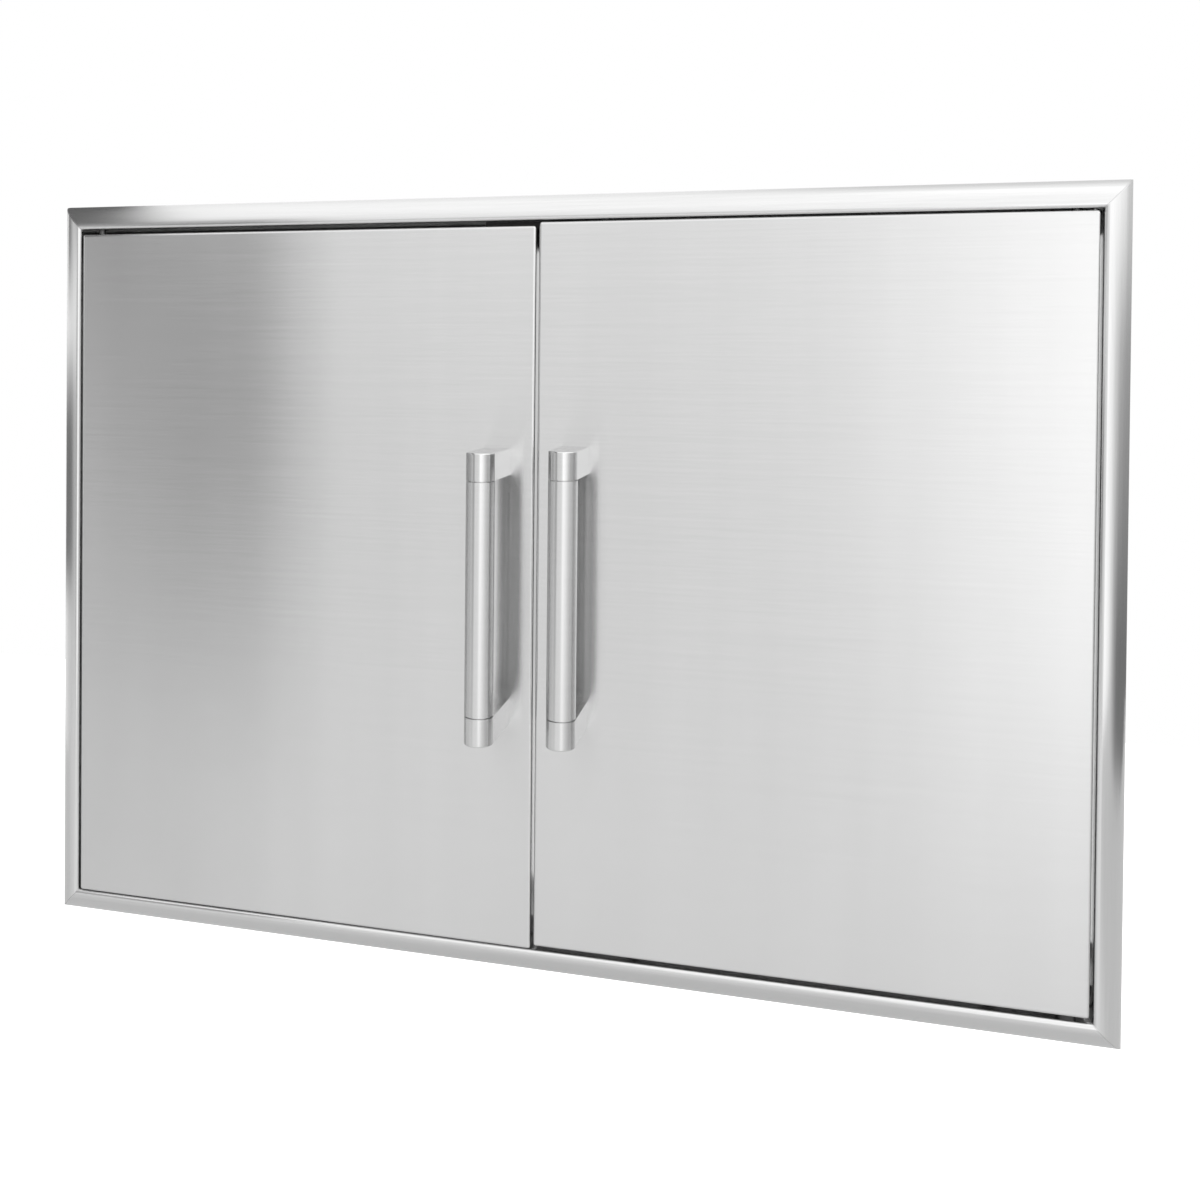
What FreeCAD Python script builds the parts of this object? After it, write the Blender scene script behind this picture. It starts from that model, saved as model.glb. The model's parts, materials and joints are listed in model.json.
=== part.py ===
import FreeCAD, Part
import math
import os

import Sketcher

# Double access door for a built-in outdoor kitchen.
# X runs to the right, Z up and Y into the wall. The wall's face is the plane Y = 0, and the origin
# is the middle of the opening in that plane. The doors face -Y.

SIZES = [
    # the frame's face
    ("frame_width", 775.0, "overall width of the mitred frame"),
    ("frame_height", 560.0, "overall height of the mitred frame"),
    ("rail_face", 19.5, "width of the moulding from its outer edge to its lip"),
    ("moulding_height", 16.0, "how far the moulding's crown stands off the wall"),
    ("edge_height", 2.5, "square edge at the foot of the moulding"),
    ("lip_radius", 3.0, "outside radius of the lip beside the doors"),
    ("corner_round", 2.0, "rounding of the frame's outer corners"),
    ("foot_width", 8.0, "flat foot that seats on the wall"),
    ("frame_sheet", 1.2, "sheet thickness of the mouldings"),
    ("jamb_back", 20.0, "how far the jamb runs behind the wall's face"),
    # the box behind the frame
    ("box_sheet", 1.2, "sheet thickness of the box panels"),
    ("box_lap", 12.0, "lap of a box panel over the jamb"),
    ("box_back", 87.0, "rear edge of the box behind the wall's face"),
    ("rear_flange", 8.0, "stiffening flange round the rear edge"),
    ("bend_radius", 2.4, "outside radius of the box and stop bends"),
    ("mount_hole", 5.0, "diameter of the mounting holes"),
    ("mount_pitch_y", 36.0, "front to back pitch of the mounting holes"),
    ("mount_pitch_z", 400.0, "upright pitch of the mounting holes"),
    ("mount_centre_y", 50.0, "middle of the mounting holes behind the wall's face"),
    # the doors
    ("side_gap", 2.0, "gap between a door and the side lip"),
    ("centre_gap", 2.0, "gap between the two doors"),
    ("door_end_play", 4.4, "gap above and below a door, added up"),
    ("door_thickness", 15.0, "depth of a door"),
    ("skin_sheet", 1.0, "sheet thickness of the outer skin"),
    ("skin_fold", 2.0, "outside radius of the skin's folded edges"),
    ("liner_sheet", 0.8, "sheet thickness of the door liner"),
    ("liner_wall", 10.0, "depth of the liner's folded edge"),
    ("nest_clearance", 0.2, "gap between the liner's edge and the skin"),
    # the pivots
    ("pivot_inset", 13.0, "pivot axis from the door's outer edge"),
    ("pivot_depth", 7.5, "pivot axis behind the door's face"),
    ("pin_diameter", 5.0, "hinge pin"),
    ("pin_clearance", 0.05, "radial running clearance of the pin in its bush"),
    ("pin_seat", 18.0, "depth of the pin in its block"),
    ("pin_end_gap", 0.5, "pin end short of the bush's outer end"),
    ("pin_skin_clearance", 0.4, "radial clearance of the pin in the skin and spacers"),
    ("bush_wall", 1.0, "wall of the hinge bush"),
    ("bush_flange", 1.2, "thickness of the bush's flange"),
    ("bush_flange_rim", 1.6, "how far the bush's flange stands out"),
    ("spacer_rim", 3.0, "width of a spacer washer's ring"),
    ("left_spacer", 0.6, "spacer washer under the left door"),
    ("right_spacer", 3.2, "spacer washer under the right door"),
    ("plate_thickness", 3.0, "hinge plate"),
    ("plate_outboard", 11.0, "hinge plate from the pivot towards the stile"),
    ("plate_inboard", 33.0, "hinge plate from the pivot towards the middle"),
    ("plate_clearance", 0.3, "hinge plate from the lip's bend and the box panel"),
    ("plate_screw", 3.5, "diameter of the hinge plate screws"),
    ("plate_screw_first", 13.0, "first hinge plate screw from the pivot"),
    ("plate_screw_pitch", 13.0, "pitch of the hinge plate screws"),
    ("plate_screw_y", 1.0, "hinge plate screws behind the wall's face"),
    ("screw_head", 6.0, "head diameter of the hinge plate and catch screws"),
    ("screw_head_height", 1.0, "head height of the hinge plate and catch screws"),
    ("block_outboard", 9.0, "hinge block from the pivot towards the door's outer edge"),
    ("block_inboard", 15.0, "hinge block from the pivot towards the middle"),
    ("block_height", 22.0, "hinge block"),
    # the handles
    ("handle_length", 199.0, "overall height of a handle"),
    ("handle_inset", 27.6, "handle axis from the door's inner edge"),
    ("handle_projection", 42.7, "handle axis in front of the door's face"),
    ("bar_diameter", 20.0, "handle bar"),
    ("mount_height", 19.0, "height of a handle's end block"),
    ("mount_edge", 0.8, "rounding of an end block's rims"),
    ("seam", 0.8, "dark groove between the bar and an end block"),
    ("spigot_diameter", 16.0, "spigot at each end of the bar"),
    ("spigot_length", 9.0, "how far the spigot enters the end block"),
    ("spigot_clearance", 0.3, "end clearance of the spigot in its socket"),
    ("handle_screw", 5.0, "diameter of the handle screws"),
    ("handle_screw_hole", 5.5, "clearance hole of the handle screws"),
    ("handle_screw_depth", 14.0, "thread depth in an end block"),
    ("handle_head", 9.0, "head diameter of the handle screws"),
    ("handle_head_height", 3.2, "head height of the handle screws"),
    ("washer_diameter", 13.0, "washer under a handle screw"),
    ("washer_thickness", 1.2, "washer under a handle screw"),
    ("sleeve_diameter", 10.0, "sleeve between the skin and the liner"),
    # the magnetic catch
    ("catch_end", 9.0, "catch housing beyond a magnet's outer end"),
    ("catch_height", 19.0, "catch housing"),
    ("catch_depth", 18.0, "catch housing from front to back"),
    ("catch_edge", 1.5, "rounding of the catch housing"),
    ("catch_screw", 3.5, "diameter of the catch screws"),
    ("catch_screw_edge", 4.0, "catch screws behind the box panel's front edge"),
    ("magnet_offset", 22.0, "middle of a magnet from the centre line"),
    ("magnet_length", 24.0, "magnet from side to side"),
    ("magnet_height", 9.0, "magnet"),
    ("magnet_depth", 9.0, "magnet from front to back"),
    ("magnet_proud", 1.0, "how far a magnet stands out of its housing"),
    ("magnet_drop", 12.0, "middle of a magnet below the frame's lip"),
    ("catch_air", 0.3, "gap between a magnet and its strike plate"),
    ("strike_length", 34.0, "strike plate from side to side"),
    ("strike_height", 13.0, "strike plate"),
    ("strike_thickness", 1.5, "strike plate"),
    ("strike_corner", 2.0, "corner radius of the strike plate"),
    ("rivet", 3.2, "diameter of the strike rivets"),
    ("rivet_head", 5.6, "head diameter of the strike rivets"),
    ("rivet_head_height", 1.0, "head height of the strike rivets"),
    ("rivet_inset", 5.0, "strike rivets from the ends of the plate"),
    # the door stops
    ("stop_leg", 14.0, "legs of the stop angles"),
    ("stop_sheet", 1.2, "sheet thickness of the stop angles"),
    ("stop_clearance", 1.5, "gap between a stop angle and a door's corner as it swings past"),
    ("stop_end_gap", 0.5, "gap between a stop angle's end and the stile's lip"),
    ("stop_catch_clear", 0.5, "end of an upper stop angle from the catch housing"),
    ("bumper_diameter", 8.0, "rubber bumper"),
    ("bumper_air", 0.3, "gap between a bumper and the door"),
    ("bumper_pivot", 44.0, "outer bumpers from the pivot axes"),
    ("bumper_centre", 70.0, "inner bumpers from the centre line"),
]

# A cut that takes away less than this volume, in cubic millimetres, has missed its body.
LEAST_CUT = 1e-6

doc = FreeCAD.newDocument("access_door")
sheet = doc.addObject("Spreadsheet::Sheet", "sizes")
NODES = []


def fill_sheet():
    for row, (alias, value, meaning) in enumerate(SIZES, start=1):
        sheet.set(f"A{row}", alias)
        sheet.set(f"B{row}", str(value))
        sheet.setAlias(f"B{row}", alias)
        sheet.set(f"C{row}", meaning)
    doc.recompute()


# Derived places, as expressions on the sheet's values.
LIP_X = "(sizes.frame_width / 2 - sizes.rail_face)"
LIP_Z = "(sizes.frame_height / 2 - sizes.rail_face)"
BOX_IN_X = f"({LIP_X} + sizes.frame_sheet)"
BOX_IN_Z = f"({LIP_Z} + sizes.frame_sheet)"
BOX_OUT_X = f"({BOX_IN_X} + sizes.box_sheet)"
BOX_OUT_Z = f"({BOX_IN_Z} + sizes.box_sheet)"
BOX_FRONT = "(sizes.jamb_back - sizes.box_lap)"
FACE_Y = "(-sizes.moulding_height)"
DOOR_BACK = f"({FACE_Y} + sizes.door_thickness)"
DOOR_OUT = f"({LIP_X} - sizes.side_gap)"
DOOR_IN = "(sizes.centre_gap / 2)"
DOOR_HEIGHT = f"(2 * {LIP_Z} - sizes.door_end_play)"
PIVOT_X = f"({DOOR_OUT} - sizes.pivot_inset)"
PIVOT_Y = f"({FACE_Y} + sizes.pivot_depth)"
HANDLE_X = f"({DOOR_IN} + sizes.handle_inset)"
BAR_Y = f"({FACE_Y} - sizes.handle_projection)"
LINER_FRONT = f"({DOOR_BACK} - sizes.liner_sheet)"
SKIN_INSIDE = f"({FACE_Y} + sizes.skin_sheet)"
CORNER_SWEEP = "sqrt(sizes.pivot_inset ^ 2 + (sizes.door_thickness - sizes.pivot_depth) ^ 2)"
STOP_FRONT = f"({PIVOT_Y} + {CORNER_SWEEP} + sizes.stop_clearance)"
STOP_END = f"({LIP_X} - sizes.stop_end_gap)"
MAGNET_FRONT = f"({DOOR_BACK} + sizes.strike_thickness + sizes.catch_air)"
CATCH_FRONT = f"({MAGNET_FRONT} + sizes.magnet_proud)"
CATCH_HALF = "(sizes.magnet_offset + sizes.magnet_length / 2 + sizes.catch_end)"
BUSH_BORE = "(sizes.pin_diameter + 2 * sizes.pin_clearance)"
BUSH_OUTSIDE = f"({BUSH_BORE} + 2 * sizes.bush_wall)"
LINER_INSET = "(sizes.skin_sheet + sizes.nest_clearance)"
SHEET_CUT = "(2 * sizes.frame_sheet)"
LAP_CUT = "(2 * (sizes.frame_sheet + sizes.box_sheet))"

# The left door hangs low on a thin spacer and the right door high on a thick one.
HANDS = {
    "left": {"side": -1, "spacer": "sizes.left_spacer"},
    "right": {"side": 1, "spacer": "sizes.right_spacer"},
}
for hand in HANDS.values():
    hand["bottom"] = f"({hand['spacer']} - {LIP_Z})"
    hand["top"] = f"({hand['bottom']} + {DOOR_HEIGHT})"
    hand["middle"] = f"({hand['bottom']} + {DOOR_HEIGHT} / 2)"
    hand["pivot"] = f"({hand['side']} * {PIVOT_X})"
    hand["handle"] = f"({hand['side']} * {HANDLE_X})"
    hand["inner"] = f"({hand['side']} * {DOOR_IN})"
    hand["outer"] = f"({hand['side']} * {DOOR_OUT})"


def number(expression):
    return float(sheet.evalExpression(expression))


# Sketch, feature and primitive helpers.


def new_body(name):
    body = doc.addObject("PartDesign::Body", name)
    body.Label = name
    NODES.append(body)
    return body


def new_sketch(body, name, plane, offset="0"):
    """A sketch on one of the body's own origin planes, moved along the plane's normal.

    XY_Plane has local X, Y = X, Y and normal +Z. XZ_Plane has X, Z and normal -Y.
    YZ_Plane has Y, Z and normal +X.
    """
    sketch = body.newObject("Sketcher::SketchObject", f"{body.Label}_{name}")
    origin_plane = [item for item in body.Origin.OriginFeatures if item.Role == plane][0]
    sketch.AttachmentSupport = [(origin_plane, "")]
    sketch.MapMode = "FlatFace"
    sketch.setExpression("AttachmentOffset.Base.z", offset)
    return sketch


def bind(sketch, kind, geometry, point, expression):
    value = number(expression)
    if point is None:
        constraint = Sketcher.Constraint(kind, geometry, value)
    else:
        constraint = Sketcher.Constraint(kind, -1, 1, geometry, point, value)
    index = sketch.addConstraint(constraint)
    sketch.setExpression(f"Constraints[{index}]", expression)


def arc_between(start, end, radius, turn):
    """The short arc from start to end, which turns left when turn is 1 and right when it is -1."""
    middle = (start + end) / 2
    chord = end - start
    rise = math.sqrt(max(radius ** 2 - (chord.Length / 2) ** 2, 0.0))
    normal = FreeCAD.Vector(-chord.y, chord.x, 0).normalize()
    centre = middle + normal * rise * turn
    first, last = (start, end) if turn > 0 else (end, start)
    angle_one = math.atan2(first.y - centre.y, first.x - centre.x)
    angle_two = math.atan2(last.y - centre.y, last.x - centre.x)
    if angle_two < angle_one:
        angle_two += 2 * math.pi
    circle = Part.Circle(centre, FreeCAD.Vector(0, 0, 1), radius)
    return Part.ArcOfCircle(circle, angle_one, angle_two)


def outline(sketch, points, arcs=None):
    """A closed outline through bound points; arcs maps a span's number to (radius, turn)."""
    arcs = arcs or {}
    places = [FreeCAD.Vector(number(x), number(y), 0) for x, y in points]
    count = len(points)
    ends = []
    for index in range(count):
        start, end = places[index], places[(index + 1) % count]
        if index in arcs:
            radius, turn = arcs[index]
            curve = arc_between(start, end, number(radius), turn)
            geometry = sketch.addGeometry(curve)
            ends.append((geometry, 1, 2) if turn > 0 else (geometry, 2, 1))
        else:
            geometry = sketch.addGeometry(Part.LineSegment(start, end))
            ends.append((geometry, 1, 2))
    for index in range(count):
        geometry, _, last = ends[index]
        following, first, _ = ends[(index + 1) % count]
        sketch.addConstraint(Sketcher.Constraint("Coincident", geometry, last, following, first))
    for index, (x, y) in enumerate(points):
        geometry, first, _ = ends[index]
        bind(sketch, "DistanceX", geometry, first, x)
        bind(sketch, "DistanceY", geometry, first, y)
    for index, (radius, _) in arcs.items():
        bind(sketch, "Radius", ends[index][0], None, radius)


def rectangle(sketch, x_one, x_two, y_one, y_two):
    outline(sketch, [(x_one, y_one), (x_two, y_one), (x_two, y_two), (x_one, y_two)])


def circle(sketch, x, y, diameter):
    centre = FreeCAD.Vector(number(x), number(y), 0)
    shape = Part.Circle(centre, FreeCAD.Vector(0, 0, 1), number(diameter) / 2)
    geometry = sketch.addGeometry(shape)
    bind(sketch, "DistanceX", geometry, 3, x)
    bind(sketch, "DistanceY", geometry, 3, y)
    bind(sketch, "Diameter", geometry, None, diameter)


def pad(sketch, length, symmetric=False, backwards=False):
    body = sketch.getParentGeoFeatureGroup()
    feature = body.newObject("PartDesign::Pad", f"{sketch.Name}_pad")
    feature.Profile = sketch
    feature.setExpression("Length", length)
    if symmetric:
        feature.SideType = "Symmetric"
    feature.Reversed = backwards
    return feature


def pocket(sketch, length=None, along_normal=False):
    """Cuts the sketch to a depth, or both ways through the whole body where length is None."""
    body = sketch.getParentGeoFeatureGroup()
    doc.recompute()
    before = body.Shape.Volume
    feature = body.newObject("PartDesign::Pocket", f"{sketch.Name}_pocket")
    feature.Profile = sketch
    if length is None:
        feature.Type = "ThroughAll"
        feature.SideType = "Symmetric"
    else:
        feature.setExpression("Length", length)
        feature.Reversed = along_normal
    doc.recompute()
    if body.Shape.Volume > before - LEAST_CUT:
        raise RuntimeError(f"{feature.Name} cuts nothing")
    return feature


def revolve(sketch, axis="V_Axis"):
    body = sketch.getParentGeoFeatureGroup()
    feature = body.newObject("PartDesign::Revolution", f"{sketch.Name}_revolution")
    feature.Profile = sketch
    feature.ReferenceAxis = (sketch, [axis])
    feature.Angle = 360
    return feature


def fillet(body, radius, wanted):
    """Rounds the edges of the body's shape for which wanted(edge) holds."""
    doc.recompute()
    base = body.Tip
    names = [f"Edge{i}" for i, edge in enumerate(base.Shape.Edges, start=1) if wanted(edge)]
    feature = body.newObject("PartDesign::Fillet", f"{body.Label}_fillet")
    feature.Base = (base, names)
    feature.setExpression("Radius", radius)
    return feature


def on_plane(edge, axis, place, tolerance=1e-4):
    low, high = getattr(edge.BoundBox, f"{axis}Min"), getattr(edge.BoundBox, f"{axis}Max")
    return abs(low - place) < tolerance and abs(high - place) < tolerance


def runs_along(edge, axis, tolerance=1e-4):
    box = edge.BoundBox
    others = [getattr(box, f"{name}Length") for name in "XYZ" if name != axis]
    return max(others) < tolerance


def place(item, x="0", y="0", z="0"):
    for axis, expression in zip("xyz", (x, y, z)):
        item.setExpression(f"Placement.Base.{axis}", expression)


def cylinder(name, diameter, length, x, y, z, axis="z"):
    """A bound cylinder that starts at x, y, z and runs along +Z, or along +Y where axis is y."""
    item = doc.addObject("Part::Cylinder", name)
    item.setExpression("Radius", f"{diameter} / 2")
    item.setExpression("Height", length)
    if axis == "y":
        item.Placement.Rotation = FreeCAD.Rotation(FreeCAD.Vector(1, 0, 0), -90)
    place(item, x, y, z)
    return item


def group(name, pieces):
    """Several like pieces, or the stages of one piece, joined under one name."""
    item = doc.addObject("Part::MultiFuse", name)
    item.Label = name
    item.Shapes = pieces
    NODES.append(item)
    return item


# The mitred frame: four formed bullnose mouldings.

CROWN_RUN = "(sizes.rail_face - sizes.lip_radius)"
CROWN_DROP = "(sizes.moulding_height - sizes.edge_height)"
CROWN_RADIUS = f"(({CROWN_RUN} ^ 2 + {CROWN_DROP} ^ 2) / (2 * {CROWN_DROP}))"


def moulding_section(outer):
    """The sheet's section as (across, depth) points, with across measured from the frame's centre."""
    lip = f"({outer} - sizes.rail_face)"
    inner_lip_radius = "(sizes.lip_radius - sizes.frame_sheet)"
    inner_crown = f"({CROWN_RADIUS} - sizes.frame_sheet)"
    inner_run = f"({CROWN_RUN} - sizes.frame_sheet)"
    shoulder = f"({FACE_Y} + {CROWN_RADIUS} - sqrt({inner_crown} ^ 2 - {inner_run} ^ 2))"
    points = [
        (f"{outer} - sizes.foot_width", "0"),
        (outer, "0"),
        (outer, "-sizes.edge_height"),
        (f"{lip} + sizes.lip_radius", FACE_Y),
        (lip, f"{FACE_Y} + sizes.lip_radius"),
        (lip, "sizes.jamb_back"),
        (f"{lip} + sizes.frame_sheet", "sizes.jamb_back"),
        (f"{lip} + sizes.frame_sheet", f"{FACE_Y} + sizes.lip_radius"),
        (f"{lip} + sizes.lip_radius", f"{FACE_Y} + sizes.frame_sheet"),
        (f"{outer} - sizes.frame_sheet", shoulder),
        (f"{outer} - sizes.frame_sheet", "-sizes.frame_sheet"),
        (f"{outer} - sizes.foot_width", "-sizes.frame_sheet"),
    ]
    arcs = {
        2: (CROWN_RADIUS, -1),
        3: ("sizes.lip_radius", -1),
        7: (inner_lip_radius, 1),
        8: (inner_crown, 1),
    }
    return points, arcs


def mitre(body, upright, sign):
    """Cuts both ends of a moulding at 45 degrees, from the frame's outer corners inwards."""
    reach = "(sizes.rail_face + sizes.frame_sheet)"
    half_x, half_z = "(sizes.frame_width / 2)", "(sizes.frame_height / 2)"
    sketch = new_sketch(body, "mitre", "XZ_Plane")
    for end in (-1, 1):
        if upright:
            corner = (f"{sign} * {half_x}", f"{end} * {half_z}")
            inner = (f"{sign} * ({half_x} - {reach})", f"{end} * ({half_z} - {reach})")
            third = (f"{sign} * ({half_x} - {reach})", f"{end} * {half_z}")
        else:
            corner = (f"{end} * {half_x}", f"{sign} * {half_z}")
            inner = (f"{end} * ({half_x} - {reach})", f"{sign} * ({half_z} - {reach})")
            third = (f"{end} * {half_x}", f"{sign} * ({half_z} - {reach})")
        outline(sketch, [corner, inner, third])
    pocket(sketch)


def round_corners(body, ends):
    """Rounds the frame's outer corners; ends holds each corner's signs on X and Z."""
    half_x, half_z = "(sizes.frame_width / 2)", "(sizes.frame_height / 2)"
    sketch = new_sketch(body, "corner_round", "XZ_Plane")
    for sign_x, sign_z in ends:
        outline(sketch, [
            (f"{sign_x} * {half_x}", f"{sign_z} * {half_z}"),
            (f"{sign_x} * ({half_x} - sizes.corner_round)", f"{sign_z} * {half_z}"),
            (f"{sign_x} * {half_x}", f"{sign_z} * ({half_z} - sizes.corner_round)"),
        ], {1: ("sizes.corner_round", -sign_x * sign_z)})
    pocket(sketch)


def pivot_holes(body, sign):
    """Holes through the jamb for the bushes and the hinge plate screws."""
    sketch = new_sketch(body, "pivot_holes", "XY_Plane", f"{sign} * {LIP_Z}")
    for hand in HANDS.values():
        circle(sketch, hand["pivot"], PIVOT_Y, BUSH_OUTSIDE)
        for x in plate_screw_places(hand):
            circle(sketch, x, "sizes.plate_screw_y", "sizes.plate_screw")
    pocket(sketch, SHEET_CUT, along_normal=sign > 0)


def catch_holes(body):
    """Holes for the two screws of the catch housing."""
    sketch = new_sketch(body, "catch_holes", "XY_Plane", LIP_Z)
    for x in CATCH_SCREWS_X:
        circle(sketch, x, CATCH_SCREW_Y, "sizes.catch_screw")
    pocket(sketch, LAP_CUT, along_normal=True)


def rail(name, sign):
    body = new_body(name)
    points, arcs = moulding_section("(sizes.frame_height / 2)")
    sketch = new_sketch(body, "section", "YZ_Plane")
    section = [(depth, f"{sign} * ({across})") for across, depth in points]
    outline(sketch, section, {i: (radius, -sign * turn) for i, (radius, turn) in arcs.items()})
    pad(sketch, "sizes.frame_width", symmetric=True)
    mitre(body, False, sign)
    round_corners(body, [(-1, sign), (1, sign)])
    pivot_holes(body, sign)
    if sign > 0:
        catch_holes(body)


def stile(name, sign):
    body = new_body(name)
    points, arcs = moulding_section("(sizes.frame_width / 2)")
    sketch = new_sketch(body, "section", "XY_Plane")
    section = [(f"{sign} * ({across})", depth) for across, depth in points]
    outline(sketch, section, {i: (radius, sign * turn) for i, (radius, turn) in arcs.items()})
    pad(sketch, "sizes.frame_height", symmetric=True)
    mitre(body, True, sign)
    round_corners(body, [(sign, -1), (sign, 1)])


# The box behind the frame, with its rear flange turned inwards.


def panel_section(inside, outside):
    points = [
        (inside, BOX_FRONT),
        (outside, BOX_FRONT),
        (outside, "sizes.box_back - sizes.bend_radius"),
        (f"{outside} - sizes.bend_radius", "sizes.box_back"),
        (f"{inside} - sizes.rear_flange", "sizes.box_back"),
        (f"{inside} - sizes.rear_flange", "sizes.box_back - sizes.box_sheet"),
        (f"{outside} - sizes.bend_radius", "sizes.box_back - sizes.box_sheet"),
        (inside, "sizes.box_back - sizes.bend_radius"),
    ]
    arcs = {2: ("sizes.bend_radius", 1), 6: ("sizes.bend_radius - sizes.box_sheet", -1)}
    return points, arcs


def box_panel(name, sign):
    """The top or bottom panel, which laps the jamb and spans the whole width."""
    body = new_body(name)
    points, arcs = panel_section(BOX_IN_Z, BOX_OUT_Z)
    sketch = new_sketch(body, "section", "YZ_Plane")
    section = [(depth, f"{sign} * ({across})") for across, depth in points]
    outline(sketch, section, {i: (radius, -sign * turn) for i, (radius, turn) in arcs.items()})
    pad(sketch, f"2 * {BOX_OUT_X}", symmetric=True)
    if sign > 0:
        catch_holes(body)


def box_side(name, sign):
    """A side panel between the top and bottom panels, with its mounting holes."""
    body = new_body(name)
    points, arcs = panel_section(BOX_IN_X, BOX_OUT_X)
    sketch = new_sketch(body, "section", "XY_Plane")
    section = [(f"{sign} * ({across})", depth) for across, depth in points]
    outline(sketch, section, {i: (radius, sign * turn) for i, (radius, turn) in arcs.items()})
    pad(sketch, f"2 * {BOX_IN_Z}", symmetric=True)
    relief = new_sketch(body, "relief", "XZ_Plane", "-sizes.box_back")
    for end in (-1, 1):
        rectangle(
            relief,
            f"{sign} * ({BOX_IN_X} - sizes.rear_flange)",
            f"{sign} * {BOX_OUT_X}",
            f"{end} * ({BOX_IN_Z} - sizes.rear_flange)",
            f"{end} * {BOX_IN_Z}",
        )
    pocket(relief, "sizes.bend_radius", along_normal=True)
    holes = new_sketch(body, "mount_holes", "YZ_Plane")
    for row in (-1, 1):
        for end in (-1, 1):
            y = f"sizes.mount_centre_y + {row} * sizes.mount_pitch_y / 2"
            circle(holes, y, f"{end} * sizes.mount_pitch_z / 2", "sizes.mount_hole")
    pocket(holes)


# The door stops: angles welded inside the jamb, with rubber bumpers.


def stop_angle(name, sign, x_from, x_to):
    body = new_body(name)
    sketch = new_sketch(body, "section", "YZ_Plane", x_from)
    edge = f"({LIP_Z} - sizes.bend_radius)"
    points = [
        (STOP_FRONT, f"{sign} * ({LIP_Z} - sizes.stop_leg)"),
        (f"{STOP_FRONT} + sizes.stop_sheet", f"{sign} * ({LIP_Z} - sizes.stop_leg)"),
        (f"{STOP_FRONT} + sizes.stop_sheet", f"{sign} * {edge}"),
        (f"{STOP_FRONT} + sizes.bend_radius", f"{sign} * ({LIP_Z} - sizes.stop_sheet)"),
        (f"{STOP_FRONT} + sizes.stop_leg", f"{sign} * ({LIP_Z} - sizes.stop_sheet)"),
        (f"{STOP_FRONT} + sizes.stop_leg", f"{sign} * {LIP_Z}"),
        (f"{STOP_FRONT} + sizes.bend_radius", f"{sign} * {LIP_Z}"),
        (STOP_FRONT, f"{sign} * {edge}"),
    ]
    inner = "sizes.bend_radius - sizes.stop_sheet"
    outline(sketch, points, {2: (inner, -sign), 6: ("sizes.bend_radius", sign)})
    pad(sketch, f"{x_to} - ({x_from})")


def stop_bumpers():
    """Rubber discs on the stop angles, just clear of the closed doors."""
    outer = f"({PIVOT_X} - sizes.bumper_pivot)"
    drop = f"({LIP_Z} - sizes.stop_leg + sizes.bumper_diameter / 2)"
    front = f"({DOOR_BACK} + sizes.bumper_air)"
    rows = [(1, outer), (1, "sizes.bumper_centre"), (-1, outer), (-1, "sizes.bumper_centre")]
    pieces = []
    for hand in HANDS.values():
        for level, x in rows:
            pieces.append(cylinder(
                "bumper", "sizes.bumper_diameter", f"{STOP_FRONT} - {front}",
                f"{hand['side']} * {x}", front, f"{level} * {drop}", axis="y",
            ))
    group("stop_bumpers", pieces)


# The pivots: plates and bushes on the frame, spacers under the doors.


def plate_screw_places(hand):
    first = f"({PIVOT_X} - sizes.plate_screw_first)"
    second = f"({first} - sizes.plate_screw_pitch)"
    return [f"{hand['side']} * {x}" for x in (first, second)]


def hinge_plate(name, hand, sign):
    """A plate on the far side of the jamb, which carries one bush."""
    body = new_body(name)
    level = BOX_IN_Z if sign > 0 else f"(-{BOX_IN_Z})"
    sketch = new_sketch(body, "outline", "XY_Plane", level)
    front = f"({FACE_Y} + sizes.lip_radius + sizes.plate_clearance)"
    rectangle(
        sketch,
        f"{hand['side']} * ({PIVOT_X} + sizes.plate_outboard)",
        f"{hand['side']} * ({PIVOT_X} - sizes.plate_inboard)",
        front,
        f"{BOX_FRONT} - sizes.plate_clearance",
    )
    pad(sketch, "sizes.plate_thickness", backwards=sign < 0)
    holes = new_sketch(body, "holes", "XY_Plane", level)
    circle(holes, hand["pivot"], PIVOT_Y, BUSH_OUTSIDE)
    for x in plate_screw_places(hand):
        circle(holes, x, "sizes.plate_screw_y", "sizes.plate_screw")
    pocket(holes)


def hinge_bush(name, hand, sign):
    """A flanged plastic bush, pushed in from the plate's far side."""
    body = new_body(name)
    sketch = new_sketch(body, "section", "XZ_Plane")
    bore = f"({BUSH_BORE} / 2)"
    wall = f"({BUSH_OUTSIDE} / 2)"
    rim = f"({wall} + sizes.bush_flange_rim)"
    seat = f"({sign} * (sizes.frame_sheet + sizes.plate_thickness))"
    end = f"({seat} + {sign} * sizes.bush_flange)"
    outline(sketch, [(bore, "0"), (wall, "0"), (wall, seat), (rim, seat), (rim, end), (bore, end)])
    revolve(sketch)
    place(body, hand["pivot"], PIVOT_Y, f"{sign} * {LIP_Z}")


def spacer_washer(name, hand):
    """The washer between a door's lower edge and the lower jamb, which sets the door's height."""
    body = new_body(name)
    sketch = new_sketch(body, "section", "XZ_Plane")
    bore = "(sizes.pin_diameter / 2 + sizes.pin_skin_clearance)"
    rectangle(sketch, bore, f"{bore} + sizes.spacer_rim", "0", hand["spacer"])
    revolve(sketch)
    place(body, hand["pivot"], PIVOT_Y, f"-{LIP_Z}")


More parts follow.
